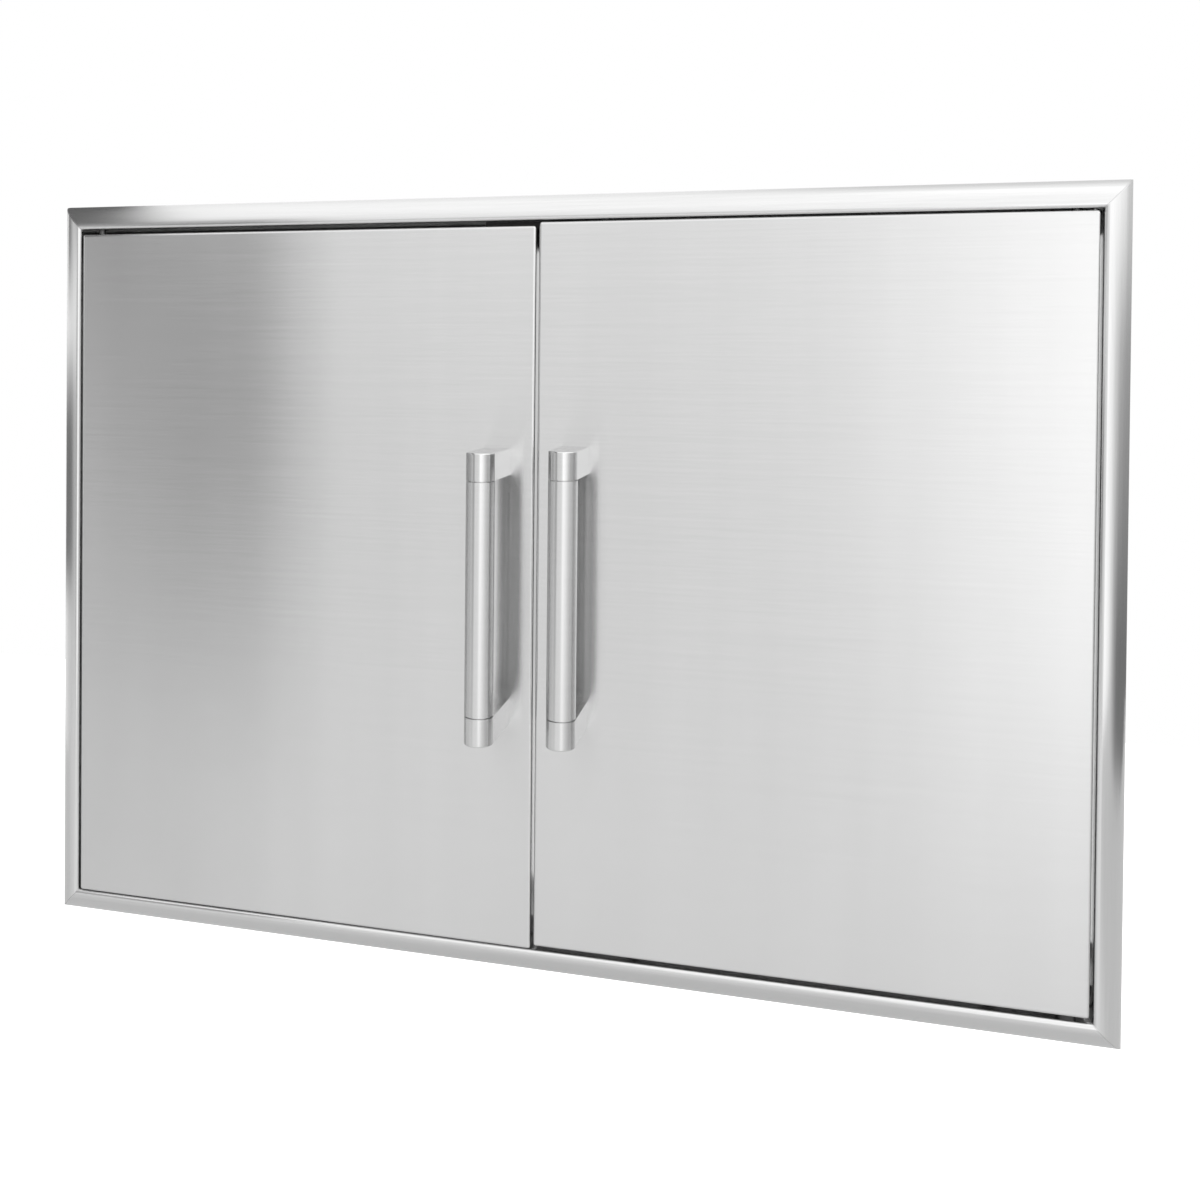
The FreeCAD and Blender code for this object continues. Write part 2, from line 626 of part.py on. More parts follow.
def hinge_plate_screws():
    pieces = []
    reach = "(sizes.frame_sheet + sizes.plate_thickness)"
    for hand in HANDS.values():
        for sign in (-1, 1):
            for x in plate_screw_places(hand):
                shank = LIP_Z if sign > 0 else f"(-{LIP_Z} - {reach})"
                head = f"({shank} + {reach})" if sign > 0 else f"({shank} - sizes.screw_head_height)"
                pieces.append(cylinder(
                    "screw", "sizes.plate_screw", reach, x, "sizes.plate_screw_y", shank))
                pieces.append(cylinder(
                    "screw_head", "sizes.screw_head", "sizes.screw_head_height",
                    x, "sizes.plate_screw_y", head))
    group("hinge_plate_screws", pieces)


# The magnetic catch in the middle of the top rail.

CATCH_SCREWS_X = [f"({side} * ({CATCH_HALF} - sizes.catch_end / 2))" for side in (-1, 1)]
CATCH_SCREW_Y = f"({BOX_FRONT} + sizes.catch_screw_edge)"
MAGNET_Z = f"({LIP_Z} - sizes.magnet_drop)"


def catch_housing():
    body = new_body("catch_housing")
    sketch = new_sketch(body, "outline", "XZ_Plane", f"-({CATCH_FRONT} + sizes.catch_depth)")
    rectangle(sketch, f"-{CATCH_HALF}", CATCH_HALF, f"{LIP_Z} - sizes.catch_height", LIP_Z)
    pad(sketch, "sizes.catch_depth")
    low = number(f"{LIP_Z} - sizes.catch_height")
    fillet(body, "sizes.catch_edge", lambda edge: on_plane(edge, "Z", low))
    sockets = new_sketch(body, "sockets", "XZ_Plane", f"-{CATCH_FRONT}")
    for hand in HANDS.values():
        magnet_outline(sockets, hand)
    pocket(sockets, "sizes.magnet_depth - sizes.magnet_proud")
    holes = new_sketch(body, "screw_holes", "XY_Plane", LIP_Z)
    for x in CATCH_SCREWS_X:
        circle(holes, x, CATCH_SCREW_Y, "sizes.catch_screw")
    pocket(holes)


def magnet_outline(sketch, hand):
    middle = f"({hand['side']} * sizes.magnet_offset)"
    rectangle(
        sketch,
        f"{middle} - sizes.magnet_length / 2",
        f"{middle} + sizes.magnet_length / 2",
        f"{MAGNET_Z} - sizes.magnet_height / 2",
        f"{MAGNET_Z} + sizes.magnet_height / 2",
    )


def catch_magnet(name, hand):
    body = new_body(name)
    sketch = new_sketch(body, "outline", "XZ_Plane", f"-{MAGNET_FRONT}")
    magnet_outline(sketch, hand)
    pad(sketch, "sizes.magnet_depth", backwards=True)


def catch_screws():
    pieces = []
    start = f"({LIP_Z} - sizes.catch_height)"
    for x in CATCH_SCREWS_X:
        length = "sizes.catch_height + sizes.frame_sheet + sizes.box_sheet"
        pieces.append(cylinder("screw", "sizes.catch_screw", length, x, CATCH_SCREW_Y, start))
        pieces.append(cylinder(
            "screw_head", "sizes.screw_head", "sizes.screw_head_height",
            x, CATCH_SCREW_Y, f"{start} - sizes.screw_head_height"))
    group("catch_screws", pieces)


# The doors: a folded skin, a liner, hinge blocks and pins.


def door_pan(body, hand, inset, back, depth, sheet_size, open_front):
    """A shallow pan of sheet metal, open to the front or to the back."""
    outline_sketch = new_sketch(body, "outline", "XZ_Plane", f"-({back})")
    side = hand["side"]
    x_one = f"{hand['inner']} + {side} * {inset}"
    x_two = f"{hand['outer']} - {side} * {inset}"
    rectangle(outline_sketch, x_one, x_two, f"{hand['bottom']} + {inset}", f"{hand['top']} - {inset}")
    pad(outline_sketch, depth)
    if not open_front:
        round_skin(body)
    level = f"-({back} - {depth})" if open_front else f"-({back})"
    hollow = new_sketch(body, "hollow", "XZ_Plane", level)
    rectangle(
        hollow,
        f"{x_one} + {side} * {sheet_size}",
        f"{x_two} - {side} * {sheet_size}",
        f"{hand['bottom']} + {inset} + {sheet_size}",
        f"{hand['top']} - {inset} - {sheet_size}",
    )
    pocket(hollow, f"{depth} - {sheet_size}", along_normal=not open_front)


def round_skin(body):
    """Rounds the skin's four front edges and its four corners."""
    front = number(FACE_Y)
    fillet(body, "sizes.skin_fold", lambda e: on_plane(e, "Y", front) or runs_along(e, "Y"))


def pin_holes(body, hand):
    sketch = new_sketch(body, "pin_holes", "XY_Plane")
    circle(sketch, hand["pivot"], PIVOT_Y, "sizes.pin_diameter + 2 * sizes.pin_skin_clearance")
    pocket(sketch)


def handle_holes(body, hand):
    sketch = new_sketch(body, "handle_holes", "XZ_Plane")
    for z in handle_screw_levels(hand):
        circle(sketch, hand["handle"], z, "sizes.handle_screw_hole")
    pocket(sketch)


def door_skin(name, hand):
    body = new_body(name)
    door_pan(body, hand, "0", DOOR_BACK, "sizes.door_thickness", "sizes.skin_sheet", False)
    inside = number(SKIN_INSIDE)
    fillet(body, "sizes.skin_fold - sizes.skin_sheet", lambda e: on_plane(e, "Y", inside))
    pin_holes(body, hand)
    handle_holes(body, hand)


def door_liner(name, hand):
    body = new_body(name)
    door_pan(body, hand, LINER_INSET, DOOR_BACK, "sizes.liner_wall", "sizes.liner_sheet", True)
    pin_holes(body, hand)
    handle_holes(body, hand)
    holes = new_sketch(body, "rivet_holes", "XZ_Plane")
    for x in strike_rivet_places(hand):
        circle(holes, x, MAGNET_Z, "sizes.rivet")
    pocket(holes)


def block_end(hand, sign):
    edge = hand["top"] if sign > 0 else hand["bottom"]
    return f"({edge} - {sign} * ({LINER_INSET} + sizes.liner_sheet))"


def hinge_block(name, hand, sign):
    """The block inside a door's corner that holds its pin."""
    body = new_body(name)
    sketch = new_sketch(body, "outline", "XY_Plane", block_end(hand, sign))
    rectangle(
        sketch,
        f"{hand['side']} * ({PIVOT_X} + sizes.block_outboard)",
        f"{hand['side']} * ({PIVOT_X} - sizes.block_inboard)",
        SKIN_INSIDE,
        LINER_FRONT,
    )
    pad(sketch, "sizes.block_height", backwards=sign > 0)
    hole = new_sketch(body, "hole", "XY_Plane", block_end(hand, sign))
    circle(hole, hand["pivot"], PIVOT_Y, "sizes.pin_diameter")
    pocket(hole, "sizes.pin_seat", along_normal=sign < 0)


def hinge_pin(name, hand, sign):
    """A pin from the block's seat to just short of the bush's outer end."""
    far = "(sizes.frame_sheet + sizes.plate_thickness + sizes.bush_flange - sizes.pin_end_gap)"
    length = f"({LIP_Z} + {far} - {sign} * {block_end(hand, sign)} + sizes.pin_seat)"
    pin = doc.addObject("Part::Cylinder", name)
    pin.Label = name
    pin.setExpression("Radius", "sizes.pin_diameter / 2")
    pin.setExpression("Height", length)
    start = f"{block_end(hand, sign)} - {sign} * sizes.pin_seat"
    if sign < 0:
        start = f"({start}) - {length}"
    place(pin, hand["pivot"], PIVOT_Y, start)
    NODES.append(pin)


# The strike plates on the doors' backs.


def strike_rivet_places(hand):
    reach = "(sizes.strike_length / 2 - sizes.rivet_inset)"
    return [f"({hand['side']} * sizes.magnet_offset + {end} * {reach})" for end in (-1, 1)]


def strike_plate(name, hand):
    body = new_body(name)
    sketch = new_sketch(body, "outline", "XZ_Plane", f"-{DOOR_BACK}")
    middle = f"({hand['side']} * sizes.magnet_offset)"
    rectangle(
        sketch,
        f"{middle} - sizes.strike_length / 2",
        f"{middle} + sizes.strike_length / 2",
        f"{MAGNET_Z} - sizes.strike_height / 2",
        f"{MAGNET_Z} + sizes.strike_height / 2",
    )
    pad(sketch, "sizes.strike_thickness", backwards=True)
    fillet(body, "sizes.strike_corner", lambda edge: runs_along(edge, "Y"))
    holes = new_sketch(body, "rivet_holes", "XZ_Plane")
    for x in strike_rivet_places(hand):
        circle(holes, x, MAGNET_Z, "sizes.rivet")
    pocket(holes)


def strike_rivets(name, hand):
    """Rivets through the liner and the strike plate, with flush outer ends."""
    pieces = []
    for x in strike_rivet_places(hand):
        pieces.append(cylinder(
            "rivet", "sizes.rivet", "sizes.liner_sheet + sizes.strike_thickness",
            x, LINER_FRONT, MAGNET_Z, axis="y"))
        pieces.append(cylinder(
            "rivet_head", "sizes.rivet_head", "sizes.rivet_head_height",
            x, f"{LINER_FRONT} - sizes.rivet_head_height", MAGNET_Z, axis="y"))
    group(name, pieces)


# The handles: a round bar between two end blocks, screwed on from the door's back.


def handle_screw_levels(hand):
    reach = "(sizes.handle_length / 2 - sizes.mount_height / 2)"
    return [f"({hand['middle']} + {sign} * {reach})" for sign in (-1, 1)]


def handle_bar(name, hand):
    body = new_body(name)
    sketch = new_sketch(body, "section", "XZ_Plane")
    shoulder = "(sizes.handle_length / 2 - sizes.mount_height - sizes.seam)"
    tip = "(sizes.handle_length / 2 - sizes.mount_height + sizes.spigot_length)"
    radius, spigot = "(sizes.bar_diameter / 2)", "(sizes.spigot_diameter / 2)"
    outline(sketch, [
        ("0", f"-{tip}"),
        (spigot, f"-{tip}"),
        (spigot, f"-{shoulder}"),
        (radius, f"-{shoulder}"),
        (radius, shoulder),
        (spigot, shoulder),
        (spigot, tip),
        ("0", tip),
    ])
    revolve(sketch)
    place(body, hand["handle"], BAR_Y, hand["middle"])


def handle_mount(name, hand, sign):
    """An end block: flat sides off the door, and a round front in line with the bar."""
    body = new_body(name)
    inner = f"({hand['middle']} + {sign} * (sizes.handle_length / 2 - sizes.mount_height))"
    radius = "(sizes.bar_diameter / 2)"
    sketch = new_sketch(body, "outline", "XY_Plane", inner)
    front = f"({BAR_Y} - {radius})"
    outline(sketch, [
        (f"{hand['handle']} - {radius}", FACE_Y),
        (f"{hand['handle']} - {radius}", BAR_Y),
        (hand["handle"], front),
        (f"{hand['handle']} + {radius}", BAR_Y),
        (f"{hand['handle']} + {radius}", FACE_Y),
    ], {1: (radius, 1), 2: (radius, 1)})
    pad(sketch, "sizes.mount_height", backwards=sign < 0)
    outside = number(inner) + sign * number("sizes.mount_height")
    face = number(FACE_Y)
    fillet(body, "sizes.mount_edge",
           lambda e: on_plane(e, "Z", outside) and not on_plane(e, "Y", face))
    socket = new_sketch(body, "socket", "XY_Plane", inner)
    circle(socket, hand["handle"], BAR_Y, "sizes.spigot_diameter")
    pocket(socket, "sizes.spigot_length + sizes.spigot_clearance", along_normal=sign > 0)
    thread = new_sketch(body, "thread", "XZ_Plane", f"-{FACE_Y}")
    level = handle_screw_levels(hand)[0 if sign < 0 else 1]
    circle(thread, hand["handle"], level, "sizes.handle_screw")
    pocket(thread, "sizes.handle_screw_depth", along_normal=True)


def handle_sleeves(name, hand):
    """Sleeves that keep the liner and the skin apart under the handle screws."""
    pieces = []
    for z in handle_screw_levels(hand):
        length = f"{LINER_FRONT} - {SKIN_INSIDE}"
        outer = cylinder("sleeve", "sizes.sleeve_diameter", length, hand["handle"], SKIN_INSIDE, z, "y")
        bore = cylinder("bore", "sizes.handle_screw_hole", length, hand["handle"], SKIN_INSIDE, z, "y")
        pieces.append(cut(outer, bore))
    group(name, pieces)


def handle_washers(name, hand):
    pieces = []
    for z in handle_screw_levels(hand):
        thick = "sizes.washer_thickness"
        outer = cylinder("washer", "sizes.washer_diameter", thick, hand["handle"], DOOR_BACK, z, "y")
        bore = cylinder("bore", "sizes.handle_screw_hole", thick, hand["handle"], DOOR_BACK, z, "y")
        pieces.append(cut(outer, bore))
    group(name, pieces)


def handle_screws(name, hand):
    seat = f"({DOOR_BACK} + sizes.washer_thickness)"
    tip = f"({FACE_Y} - sizes.handle_screw_depth)"
    pieces = []
    for z in handle_screw_levels(hand):
        pieces.append(cylinder(
            "screw", "sizes.handle_screw", f"{seat} - {tip}", hand["handle"], tip, z, "y"))
        pieces.append(cylinder(
            "screw_head", "sizes.handle_head", "sizes.handle_head_height",
            hand["handle"], seat, z, "y"))
    group(name, pieces)


def cut(base, tool):
    item = doc.addObject("Part::Cut", f"{base.Name}_cut")
    item.Base = base
    item.Tool = tool
    return item


def build_frame():
    rail("frame_top_rail", 1)
    rail("frame_bottom_rail", -1)
    stile("frame_left_stile", -1)
    stile("frame_right_stile", 1)
    box_panel("box_top_panel", 1)
    box_panel("box_bottom_panel", -1)
    box_side("box_left_panel", -1)
    box_side("box_right_panel", 1)
    beside_catch = f"({CATCH_HALF} + sizes.stop_catch_clear)"
    stop_angle("left_upper_stop", 1, f"-{STOP_END}", f"-{beside_catch}")
    stop_angle("right_upper_stop", 1, beside_catch, STOP_END)
    stop_angle("lower_stop", -1, f"-{STOP_END}", STOP_END)
    stop_bumpers()
    catch_housing()
    catch_screws()
    hinge_plate_screws()


def build_hinges(name, hand):
    for level, sign in (("upper", 1), ("lower", -1)):
        hinge_plate(f"{name}_{level}_hinge_plate", hand, sign)
        hinge_bush(f"{name}_{level}_hinge_bush", hand, sign)
        hinge_block(f"{name}_{level}_hinge_block", hand, sign)
        hinge_pin(f"{name}_{level}_hinge_pin", hand, sign)
    spacer_washer(f"{name}_hinge_spacer", hand)


def build_door(name, hand):
    door_skin(f"{name}_door_skin", hand)
    door_liner(f"{name}_door_liner", hand)
    strike_plate(f"{name}_strike_plate", hand)
    strike_rivets(f"{name}_strike_rivets", hand)
    catch_magnet(f"{name}_catch_magnet", hand)
    handle_bar(f"{name}_handle_bar", hand)
    handle_mount(f"{name}_handle_upper_mount", hand, 1)
    handle_mount(f"{name}_handle_lower_mount", hand, -1)
    handle_sleeves(f"{name}_handle_sleeves", hand)
    handle_washers(f"{name}_handle_washers", hand)
    handle_screws(f"{name}_handle_screws", hand)


def check_and_export():
    doc.recompute()
    broken = [item.Name for item in doc.Objects if {"Invalid", "Error"} & set(item.State)]
    if broken:
        raise RuntimeError(f"failed objects: {broken}")
    for node in NODES:
        if node.Shape.isNull() or not node.Shape.isValid() or not node.Shape.Solids:
            raise RuntimeError(f"{node.Label} has no valid solid")
    os.makedirs("parts", exist_ok=True)
    for node in NODES:
        node.Shape.exportStep(f"parts/{node.Label}.step")


fill_sheet()
build_frame()
for hand_name, hand_values in HANDS.items():
    build_hinges(hand_name, hand_values)
    build_door(hand_name, hand_values)
check_and_export()
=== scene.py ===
import json
import math

import bmesh
import bpy
from mathutils import Matrix, Vector


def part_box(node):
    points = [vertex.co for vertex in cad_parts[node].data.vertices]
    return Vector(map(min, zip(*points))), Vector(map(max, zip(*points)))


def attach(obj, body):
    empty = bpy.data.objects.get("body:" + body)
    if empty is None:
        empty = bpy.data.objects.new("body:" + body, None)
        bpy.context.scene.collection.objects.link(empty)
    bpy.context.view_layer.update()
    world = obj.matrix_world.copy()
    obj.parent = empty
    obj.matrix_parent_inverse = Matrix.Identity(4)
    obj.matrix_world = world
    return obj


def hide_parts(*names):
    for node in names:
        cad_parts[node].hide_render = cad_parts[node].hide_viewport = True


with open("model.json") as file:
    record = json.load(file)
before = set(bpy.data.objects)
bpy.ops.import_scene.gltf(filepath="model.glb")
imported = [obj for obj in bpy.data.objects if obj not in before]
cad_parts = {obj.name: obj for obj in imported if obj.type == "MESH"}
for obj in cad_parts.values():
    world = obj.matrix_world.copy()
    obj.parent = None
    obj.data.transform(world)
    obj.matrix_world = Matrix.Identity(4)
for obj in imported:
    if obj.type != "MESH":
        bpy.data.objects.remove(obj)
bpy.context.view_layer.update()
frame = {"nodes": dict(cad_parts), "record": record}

# Double access door: the looks around the fixed CAD frame. Metres, X right, Y into the wall, Z up.

MM = 0.001
NODES = frame["nodes"]
SLOT_OF = {part["node"]: part["material_slot"] for part in frame["record"]["subparts"]}
FRAME_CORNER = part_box("frame_top_rail")[1]
BOX_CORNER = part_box("box_top_panel")[1]


def new_object(name, data):
    thing = bpy.data.objects.new(name, data)
    bpy.context.scene.collection.objects.link(thing)
    return thing


# Node tree helpers

RISING = (0.0, 1.0)
FALLING = (1.0, 0.0)

# A mix node's colour sockets share their names with its other sockets, so they go by number.
MIX_FIRST, MIX_SECOND, MIX_RESULT = 6, 7, 2


class Tree:
    """A thin wrapper that adds shader nodes and links them."""

    def __init__(self, owner):
        owner.use_nodes = True
        self.nodes = owner.node_tree.nodes
        self.links = owner.node_tree.links
        self.nodes.clear()

    def add(self, kind, **settings):
        node = self.nodes.new(kind)
        for key, value in settings.items():
            setattr(node, key, value)
        return node

    def feed(self, node, key, value):
        """Sets an input to a plain value, or links it where the value is a socket."""
        if isinstance(value, bpy.types.NodeSocket):
            self.links.new(value, node.inputs[key])
        else:
            node.inputs[key].default_value = value

    def math(self, operation, first, second=0.0):
        node = self.add("ShaderNodeMath", operation=operation)
        self.feed(node, 0, first)
        self.feed(node, 1, second)
        return node.outputs[0]

    def product(self, first, *others):
        for other in others:
            first = self.math("MULTIPLY", first, other)
        return first

    def apart(self, first, second):
        """How far apart two values are."""
        return self.math("ABSOLUTE", self.math("SUBTRACT", first, second))

    def coordinates(self, kind):
        return self.add("ShaderNodeTexCoord").outputs[kind]

    def axes(self, vector):
        node = self.add("ShaderNodeSeparateXYZ")
        self.feed(node, 0, vector)
        return node.outputs

    def noise(self, place, grain, detail=2.0, roughness=0.5):
        """A noise with so many waves per metre on X, Y and Z."""
        mapping = self.add("ShaderNodeMapping")
        self.feed(mapping, "Vector", place)
        self.feed(mapping, "Scale", grain)
        node = self.add("ShaderNodeTexNoise")
        self.feed(node, "Vector", mapping.outputs[0])
        self.feed(node, "Scale", 1.0)
        self.feed(node, "Detail", detail)
        self.feed(node, "Roughness", roughness)
        return node.outputs["Fac"]

    def spread(self, value, span, ends):
        """Maps a span of values to two end values, and holds the ends."""
        node = self.add("ShaderNodeMapRange")
        self.feed(node, "Value", value)
        for key, number in zip(("From Min", "From Max", "To Min", "To Max"), (*span, *ends)):
            self.feed(node, key, number)
        return node.outputs["Result"]

    def mixed(self, factor, first, second):
        """The first colour where the factor is 0, and the second where it is 1."""
        node = self.add("ShaderNodeMix", data_type="RGBA")
        self.feed(node, "Factor", factor)
        self.feed(node, MIX_FIRST, first)
        self.feed(node, MIX_SECOND, second)
        return node.outputs[MIX_RESULT]

    def either(self, factor, first, second):
        """The first shader where the factor is 0, and the second where it is 1."""
        node = self.add("ShaderNodeMixShader")
        for key, value in enumerate((factor, first, second)):
            self.feed(node, key, value)
        return node.outputs[0]

    def bump(self, height, strength, distance):
        node = self.add("ShaderNodeBump")
        self.feed(node, "Height", height)
        self.feed(node, "Strength", strength)
        self.feed(node, "Distance", distance)
        return node.outputs["Normal"]

    def glow(self, kind, colour, strength=1.0):
        """A shader that gives light: an emission, or in a world a background."""
        node = self.add(kind)
        self.feed(node, "Color", colour)
        self.feed(node, "Strength", strength)
        return node.outputs[0]

    def surface(self, inputs):
        """A principled shader with these inputs, as the material's surface."""
        shader = self.add("ShaderNodeBsdfPrincipled")
        for key, value in inputs.items():
            self.feed(shader, key, value)
        self.finish(shader.outputs[0])

    def ray(self, kind):
        return self.add("ShaderNodeLightPath").outputs[kind]

    def clear_ray(self):
        """1 for rays from the camera and rays through glass, and 0 for all others."""
        return self.math("MAXIMUM", self.ray("Is Camera Ray"), self.ray("Is Transmission Ray"))

    def finish(self, shader, kind="ShaderNodeOutputMaterial"):
        self.feed(self.add(kind), 0, shader)


def grey(level, warmth=0.0):
    """A near neutral colour, a little red for a positive warmth and blue for a negative one."""
    return (level * (1 + warmth), level, level * (1 - warmth), 1.0)


# Marks on the frame and on the box

SEAM_WIDTH = 0.35 * MM
SEAM_LEVEL, SEAM_STRENGTH, SEAM_ROUGHER = 0.12, 0.3, 0.15

WELD_PITCH = 60 * MM
WELD_SIZE = 5.5 * MM
WELD_FLAT = WELD_SIZE / 5
WELD_Y = (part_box("box_top_panel")[0].y + FRAME_CORNER.y) / 2
WELD_LEVEL, WELD_STRENGTH, WELD_ROUGHER = 0.27, 0.4, 0.2
RING_EDGES = (0.3 * MM, 1.2 * MM)
RING_LEVEL, RING_WARMTH, RING_STRENGTH = 0.14, 0.15, 0.45
PANEL_MARGIN = 2 * MM


def mitre_seams(tree, place, colour, rough):
    """A thin dark line along each corner's mitre, as the ground weld leaves it."""
    parts = tree.axes(place)
    from_side = tree.math("SUBTRACT", FRAME_CORNER.x, tree.math("ABSOLUTE", parts["X"]))
    from_top = tree.math("SUBTRACT", FRAME_CORNER.z, tree.math("ABSOLUTE", parts["Z"]))
    line = tree.spread(tree.apart(from_side, from_top), (SEAM_WIDTH / 2, SEAM_WIDTH), FALLING)
    colour = tree.mixed(tree.product(line, SEAM_STRENGTH), colour, grey(SEAM_LEVEL))
    return colour, tree.math("ADD", rough, tree.product(line, SEAM_ROUGHER))


def spot_welds(tree, place, colour, rough):
    """Round heat marks where the box panels are welded to the frame."""
    parts = tree.axes(place)
    along_x, along_z = [tree.apart(tree.math("PINGPONG", parts[axis], WELD_PITCH), WELD_PITCH / 2)
                        for axis in ("X", "Z")]
    on_level_panel = tree.math("LESS_THAN", tree.math("ABSOLUTE", parts["X"]), BOX_CORNER.x - PANEL_MARGIN)
    offset = tree.add("ShaderNodeCombineXYZ")
    tree.feed(offset, 0, tree.mixed(on_level_panel, along_z, along_x))
    tree.feed(offset, 1, tree.apart(parts["Y"], WELD_Y))
    length = tree.add("ShaderNodeVectorMath", operation="LENGTH")
    tree.feed(length, 0, offset.outputs[0])
    away = length.outputs["Value"]
    ring = tree.spread(tree.apart(away, WELD_SIZE / 2), RING_EDGES, (RING_STRENGTH, 0.0))
    colour = tree.mixed(ring, colour, grey(RING_LEVEL, RING_WARMTH))
    middle = tree.spread(away, (WELD_FLAT, WELD_SIZE / 2), (WELD_STRENGTH, 0.0))
    colour = tree.mixed(middle, colour, grey(WELD_LEVEL))
    return colour, tree.math("ADD", rough, tree.product(middle, WELD_ROUGHER))


# Metals

STEEL = 0.66
QUARTER_TURN = 0.25
SIDEWAYS = (1.0, 0.0, 0.0)
UPWARDS = (0.0, 0.0, 1.0)

# Most of a noise's values lie in this span.
NOISE_SPAN = (0.3, 0.7)

# Brush marks are fine streaks with coarser ones among them, and clouds change the polish a little.
COARSE_GRAIN = 0.23
FINE_SHARE, COARSE_SHARE = 0.6, 0.4
CLOUD_GRAIN = 6.0
POLISH_CHANGE = 0.015
BRUSH_DEPTH = 0.02 * MM

# A wiped sheet has broad upright bands.
BAND_GRAIN = (22.0, 1.0, 1.2)
BAND_SPAN = (0.35, 0.65)
BAND_SHADE = 0.8


def brushed_metal(name, level, roughness, anisotropy, grain, smear=None, turn=0.0,
                  streak=0.025, bump=0.1, bands=0.0, marks=None):
    """Brushed metal with grain streaks per metre on X, Y and Z. A highlight stretches along smear,
    or across it with a quarter turn. streak, bump and bands are the strength of the streaks'
    shade, of their depth and of the broad bands, and marks is a function that draws marks."""
    material = bpy.data.materials.new(name)
    tree = Tree(material)
    place = tree.coordinates("Object")
    fine = tree.noise(place, grain, detail=3.0, roughness=0.6)
    coarse = tree.noise(place, [streaks * COARSE_GRAIN for streaks in grain])
    cloud = tree.noise(place, [CLOUD_GRAIN] * 3, detail=3.0)
    shade = tree.math("ADD", tree.product(fine, FINE_SHARE), tree.product(coarse, COARSE_SHARE))
    colour = tree.mixed(tree.spread(shade, NOISE_SPAN, RISING),
                        grey(level * (1 - streak)), grey(level * (1 + streak)))
    streaked = tree.spread(shade, NOISE_SPAN, (-POLISH_CHANGE, POLISH_CHANGE))
    clouded = tree.spread(cloud, NOISE_SPAN, (roughness - POLISH_CHANGE, roughness + POLISH_CHANGE))
    rough = tree.math("ADD", streaked, clouded)
    if bands:
        band = tree.spread(tree.noise(place, BAND_GRAIN), BAND_SPAN, (0.0, bands))
        colour = tree.mixed(band, colour, grey(level * BAND_SHADE))
    if marks:
        colour, rough = marks(tree, place, colour, rough)
    inputs = {"Metallic": 1.0, "Base Color": colour, "Roughness": rough, "Anisotropic": anisotropy,
              "Anisotropic Rotation": turn, "Normal": tree.bump(shade, bump, BRUSH_DEPTH)}
    if smear:
        carried = tree.add("ShaderNodeVectorTransform", vector_type="VECTOR",
                           convert_from="OBJECT", convert_to="WORLD")
        tree.feed(carried, 0, smear)
        inputs["Tangent"] = carried.outputs[0]
    tree.surface(inputs)
    return material


def frame_metal(name, grain, along):
    """The mouldings' finish: polished, then brushed lengthwise, with a line at each mitre."""
    return brushed_metal(name, STEEL, roughness=0.18, anisotropy=0.85, grain=grain, smear=along,
                         turn=QUARTER_TURN, streak=0.045, bump=0.2, marks=mitre_seams)


def handle_metal(name, roughness, anisotropy):
    """Brushed round about, so that a highlight stretches up and down the handle."""
    return brushed_metal(name, STEEL, roughness, anisotropy, grain=(60.0, 60.0, 3000.0), smear=UPWARDS)


def mill_metal_painted_shade(name, grain, marks=None):
    """Sheet as the mill rolls it, duller than what shows from the front. Its dark level is partly the
    sheet's own grey and partly painted shade for the recess behind the doors.
    """
    # The low level here is partly painted shade, darkening the inside of the recess
    return brushed_metal(name, level=0.42, roughness=0.4, anisotropy=0.3, grain=grain, streak=0.05,
                         marks=marks)


def plain_metal(name, level, roughness, texture, streak, anisotropy=0.0):
    """Metal with an even texture that runs no particular way."""
    return brushed_metal(name, level, roughness, anisotropy, grain=[texture] * 3, streak=streak)


door_metal = brushed_metal("door_brushed", STEEL, roughness=0.225, anisotropy=1.0,
                           grain=(30.0, 900.0, 2400.0), smear=UPWARDS, bands=0.12)
rail_metal = frame_metal("rail_brushed", grain=(30.0, 2400.0, 2400.0), along=SIDEWAYS)
stile_metal = frame_metal("stile_brushed", grain=(2400.0, 2400.0, 30.0), along=UPWARDS)
bar_metal = handle_metal("bar_brushed", roughness=0.24, anisotropy=1.0)
block_metal = handle_metal("block_brushed", roughness=0.2, anisotropy=0.9)
# The liners and the box sit in the recess, and their darker colour is partly painted shade
sheet_metal = mill_metal_painted_shade("mill_sheet_painted_shade", grain=(9.0, 300.0, 420.0))
box_metal = mill_metal_painted_shade("box_sheet", grain=(9.0, 300.0, 300.0), marks=spot_welds)
bracket_metal = plain_metal("bracket_steel", level=0.5, roughness=0.42, texture=200.0, streak=0.05,
                            anisotropy=0.2)
screw_metal = plain_metal("screw_steel", level=0.55, roughness=0.3, texture=500.0, streak=0.03)
zinc_metal = plain_metal("zinc_plate", level=0.45, roughness=0.4, texture=150.0, streak=0.12)
magnet_face = plain_metal("magnet_face", level=0.2, roughness=0.45, texture=300.0, streak=0.15)
black_pin = plain_metal("black_pin", level=0.12, roughness=0.4, texture=400.0, streak=0.1)


# Plastic and rubber

MOULD_CLOUDS = 40.0
MOULD_SHADES = (0.85, 1.15)
MOULD_POLISH_CHANGE = 0.06
MOULD_DEPTH = 0.1 * MM


def moulded(name, level, roughness, texture, bump):
    """A moulded surface with a fine even texture."""
    material = bpy.data.materials.new(name)
    tree = Tree(material)
    place = tree.coordinates("Object")
    grain = tree.noise(place, [texture] * 3, detail=3.0)
    cloud = tree.noise(place, [MOULD_CLOUDS] * 3)
    polish = (roughness - MOULD_POLISH_CHANGE, roughness + MOULD_POLISH_CHANGE)
    tree.surface({
        "Base Color": tree.mixed(tree.spread(cloud, NOISE_SPAN, RISING),
                                 *[grey(level * shade) for shade in MOULD_SHADES]),
        "Roughness": tree.spread(grain, NOISE_SPAN, polish),
        "Normal": tree.bump(grain, bump, MOULD_DEPTH),
    })
    return material


